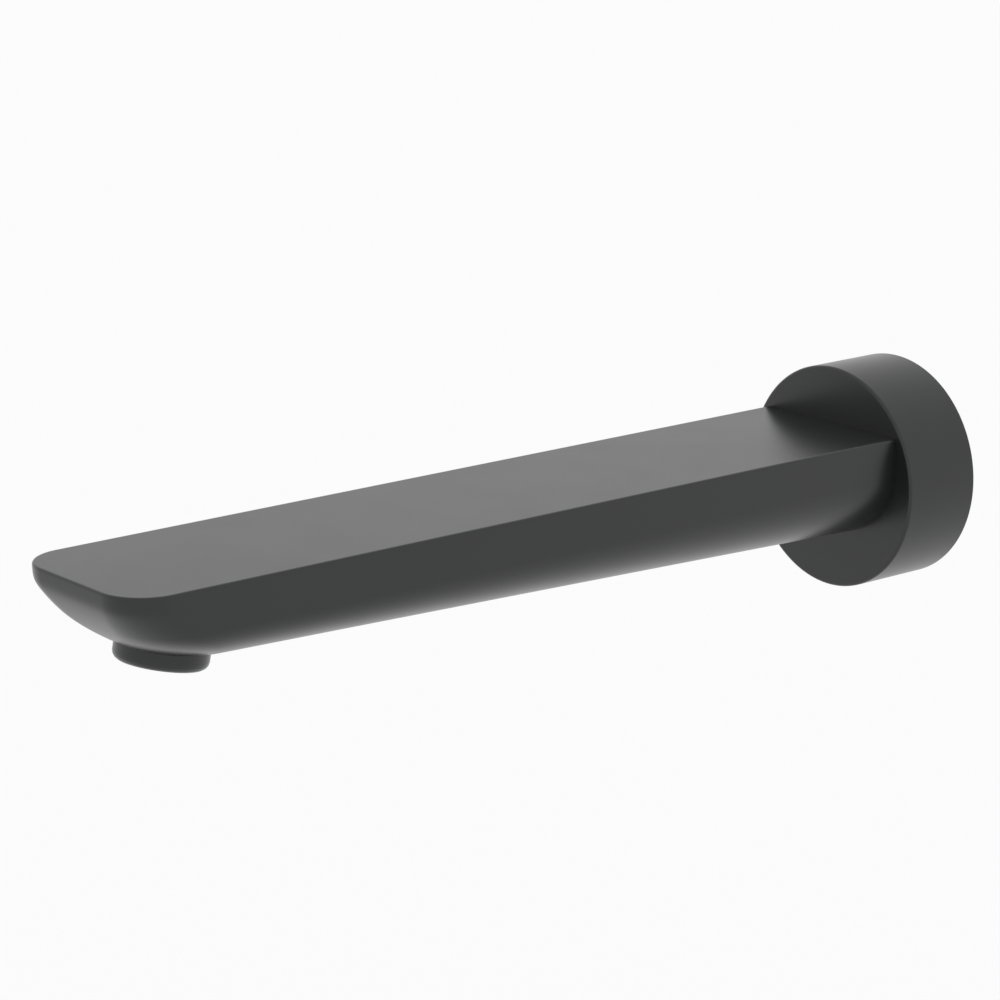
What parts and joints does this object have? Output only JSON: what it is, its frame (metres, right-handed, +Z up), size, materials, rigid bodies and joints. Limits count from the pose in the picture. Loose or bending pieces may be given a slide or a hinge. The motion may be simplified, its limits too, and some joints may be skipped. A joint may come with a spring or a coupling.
{
  "type": "wall spout",
  "caption": "Black wall spout: a flat-topped arm with a hull-shaped underside on a round flange, with a forward-tilted round outlet and a screw-in aerator.",
  "frame": {"origin": "centre of the flange's back face, in the plane of the wall, on the axis of the inlet thread", "axes": "+Y into the wall along the inlet thread, -Y along the arm, +Z up, X across the arm"},
  "size_m": [0.05, 0.232, 0.05],
  "materials": {
    "black_coat": "satin",
    "bare_brass": "machined",
    "dark_rubber": "matte",
    "plain_steel": "machined",
    "white_plastic": "matte"
  },
  "bodies": {
    "root": {"spout_body": "black_coat", "inlet_spigot": "bare_brass", "spigot_o_ring_front": "dark_rubber", "spigot_o_ring_rear": "dark_rubber", "grub_screw": "plain_steel", "wall_seal": "dark_rubber", "aerator_housing": "black_coat", "aerator_honeycomb": "white_plastic", "aerator_jet_plate": "white_plastic", "aerator_strainer": "white_plastic", "aerator_washer": "dark_rubber"}
  },
  "joints": []
}
